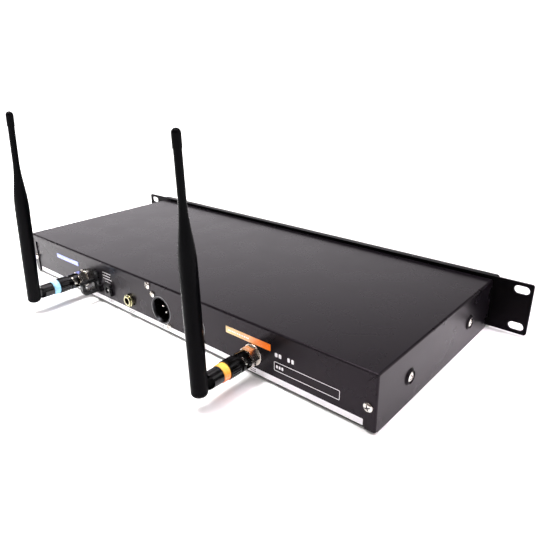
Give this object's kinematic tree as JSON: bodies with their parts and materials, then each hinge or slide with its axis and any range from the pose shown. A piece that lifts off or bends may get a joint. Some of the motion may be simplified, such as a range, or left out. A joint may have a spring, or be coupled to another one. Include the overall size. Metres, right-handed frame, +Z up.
{
  "type": "wireless receiver unit",
  "caption": "Rack-mount wireless microphone receiver: flat sheet-metal case with ears, two folding whip antennas on bayonet sockets, rear audio sockets and front controls.",
  "frame": {"origin": "centre of the four rack slots, on the back face of the ears", "axes": "+X to the right seen from the front, +Y to the rear, away from the front panel, +Z up"},
  "size_m": [0.4826, 0.2535, 0.178],
  "materials": {
    "case_black": "satin powder coat, black with a slight lilac tint, fine orange-peel texture",
    "plate_black": "satin black paint",
    "fascia_black": "satin black paint",
    "washer_black": "black oxide",
    "nickel": "bright nickel plating",
    "orange_label": "glossy printed label",
    "blue_label": "glossy printed label",
    "ptfe_white": "matt",
    "gold": "gold plated",
    "collar_black": "glossy black plating",
    "orange_band": "glossy",
    "blue_band": "glossy",
    "elbow_black": "glossy moulded plastic",
    "antenna_rubber": "satin rubber",
    "xlr_metal": "black plated, with a bright edge",
    "insert_black": "matt",
    "silver_pin": "bright plating",
    "brass": "bright brass",
    "socket_black": "moulded",
    "window_glass": "clear acrylic",
    "display_green": "unlit display",
    "led_green": "diffused lens",
    "knob_black": "satin",
    "pot_metal": "plated steel",
    "switch_black": "satin moulded plastic",
    "button_grey": "satin moulded plastic",
    "board_green": "solder mask",
    "board_parts_black": "moulded",
    "can_metal": "tinned steel",
    "heat_sink_metal": "extruded",
    "coax_copper": "copper jacket"
  },
  "bodies": {
    "chassis": {"chassis_tray": "case_black", "top_cover": "case_black", "front_plate": "plate_black", "fascia": "fascia_black", "side_cup_washers": "washer_black", "side_screws": "nickel", "rear_cover_screws": "nickel", "plate_screws": "nickel", "orange_label": "orange_label", "blue_label": "blue_label", "bnc_jacks": "nickel", "bnc_washers": "nickel", "bnc_nuts": "nickel", "bnc_insulators": "ptfe_white", "bnc_contacts": "gold", "xlr_shells": "xlr_metal", "xlr_inserts": "insert_black", "xlr_pins": "silver_pin", "xlr_screws": "nickel", "line_jack": "brass", "line_jack_nut": "brass", "dc_jack": "socket_black", "dc_pin": "silver_pin", "cord_hook": "socket_black", "display_windows": "window_glass", "display_modules": "display_green", "leds": "led_green", "volume_pots": "pot_metal", "power_switch_body": "switch_black", "tact_switches": "switch_black", "main_board": "board_green", "board_parts": "board_parts_black", "tuner_cans": "can_metal", "heat_sink": "heat_sink_metal", "coax_leads": "coax_copper", "front_board": "board_green", "board_supports": "ptfe_white"},
    "plug_a": {"plug_body_a": "nickel", "id_ring_a": "orange_band"},
    "collar_a": {"collar_a": "collar_black"},
    "elbow_a": {"elbow_a": "elbow_black"},
    "whip_a": {"hinge_pin_a": "nickel", "whip_a": "antenna_rubber", "tip_cap_a": "antenna_rubber"},
    "plug_b": {"plug_body_b": "nickel", "id_ring_b": "blue_band"},
    "collar_b": {"collar_b": "collar_black"},
    "elbow_b": {"elbow_b": "elbow_black"},
    "whip_b": {"hinge_pin_b": "nickel", "whip_b": "antenna_rubber", "tip_cap_b": "antenna_rubber"},
    "knob_a": {"knob_a": "knob_black", "knob_shaft_a": "nickel"},
    "knob_b": {"knob_b": "knob_black", "knob_shaft_b": "nickel"},
    "power_rocker": {"power_rocker": "switch_black"},
    "set_button_a": {"set_button_a": "button_grey"},
    "sync_button_a": {"sync_button_a": "button_grey"},
    "set_button_b": {"set_button_b": "button_grey"},
    "sync_button_b": {"sync_button_b": "button_grey"}
  },
  "joints": [
    {"name": "antenna_a_back_off", "type": "slide", "parent": "chassis", "child": "plug_a", "axis": [0, 1, 0], "range_m": [0, 0.00196]},
    {"name": "collar_a_turn", "type": "hinge", "parent": "plug_a", "child": "collar_a", "pos_m": [-0.1105, 0.198, -0.006], "axis": [0, 1, 0], "range_deg": [0, 75]},
    {"name": "antenna_a_swivel", "type": "hinge", "parent": "plug_a", "child": "elbow_a", "pos_m": [-0.1105, 0.218, -0.006], "axis": [0, 1, 0], "continuous": true},
    {"name": "antenna_a_fold", "type": "hinge", "parent": "elbow_a", "child": "whip_a", "pos_m": [-0.1105, 0.23, -0.006], "axis": [-0.9998, 0, 0.0192], "range_deg": [0, 90]},
    {"name": "antenna_b_back_off", "type": "slide", "parent": "chassis", "child": "plug_b", "axis": [0, 1, 0], "range_m": [0, 0.00196]},
    {"name": "collar_b_turn", "type": "hinge", "parent": "plug_b", "child": "collar_b", "pos_m": [0.1105, 0.198, -0.006], "axis": [0, 1, 0], "range_deg": [0, 75]},
    {"name": "antenna_b_swivel", "type": "hinge", "parent": "plug_b", "child": "elbow_b", "pos_m": [0.1105, 0.218, -0.006], "axis": [0, 1, 0], "continuous": true},
    {"name": "antenna_b_fold", "type": "hinge", "parent": "elbow_b", "child": "whip_b", "pos_m": [0.1105, 0.23, -0.006], "axis": [-0.991, 0, -0.134], "range_deg": [0, 90]},
    {"name": "knob_a_turn", "type": "hinge", "parent": "chassis", "child": "knob_a", "pos_m": [-0.031, -0.01, 0], "axis": [0, 1, 0], "range_deg": [-150, 150]},
    {"name": "knob_b_turn", "type": "hinge", "parent": "chassis", "child": "knob_b", "pos_m": [0.159, -0.01, 0], "axis": [0, 1, 0], "range_deg": [-150, 150]},
    {"name": "power_rock", "type": "hinge", "parent": "chassis", "child": "power_rocker", "pos_m": [-0.192, -0.001, 0], "axis": [-1, 0, 0], "range_deg": [0, 16]},
    {"name": "set_button_a_press", "type": "slide", "parent": "chassis", "child": "set_button_a", "axis": [0, 1, 0], "range_m": [0, 0.001], "stiffness_N_per_m": 600, "springref_m": -0.0008},
    {"name": "sync_button_a_press", "type": "slide", "parent": "chassis", "child": "sync_button_a", "axis": [0, 1, 0], "range_m": [0, 0.001], "stiffness_N_per_m": 600, "springref_m": -0.0008},
    {"name": "set_button_b_press", "type": "slide", "parent": "chassis", "child": "set_button_b", "axis": [0, 1, 0], "range_m": [0, 0.001], "stiffness_N_per_m": 600, "springref_m": -0.0008},
    {"name": "sync_button_b_press", "type": "slide", "parent": "chassis", "child": "sync_button_b", "axis": [0, 1, 0], "range_m": [0, 0.001], "stiffness_N_per_m": 600, "springref_m": -0.0008}
  ],
  "couplings": [
    {"joint": "collar_a_turn", "follows": "antenna_a_back_off", "rad_per_m": 667.8},
    {"joint": "collar_b_turn", "follows": "antenna_b_back_off", "rad_per_m": 667.8}
  ]
}
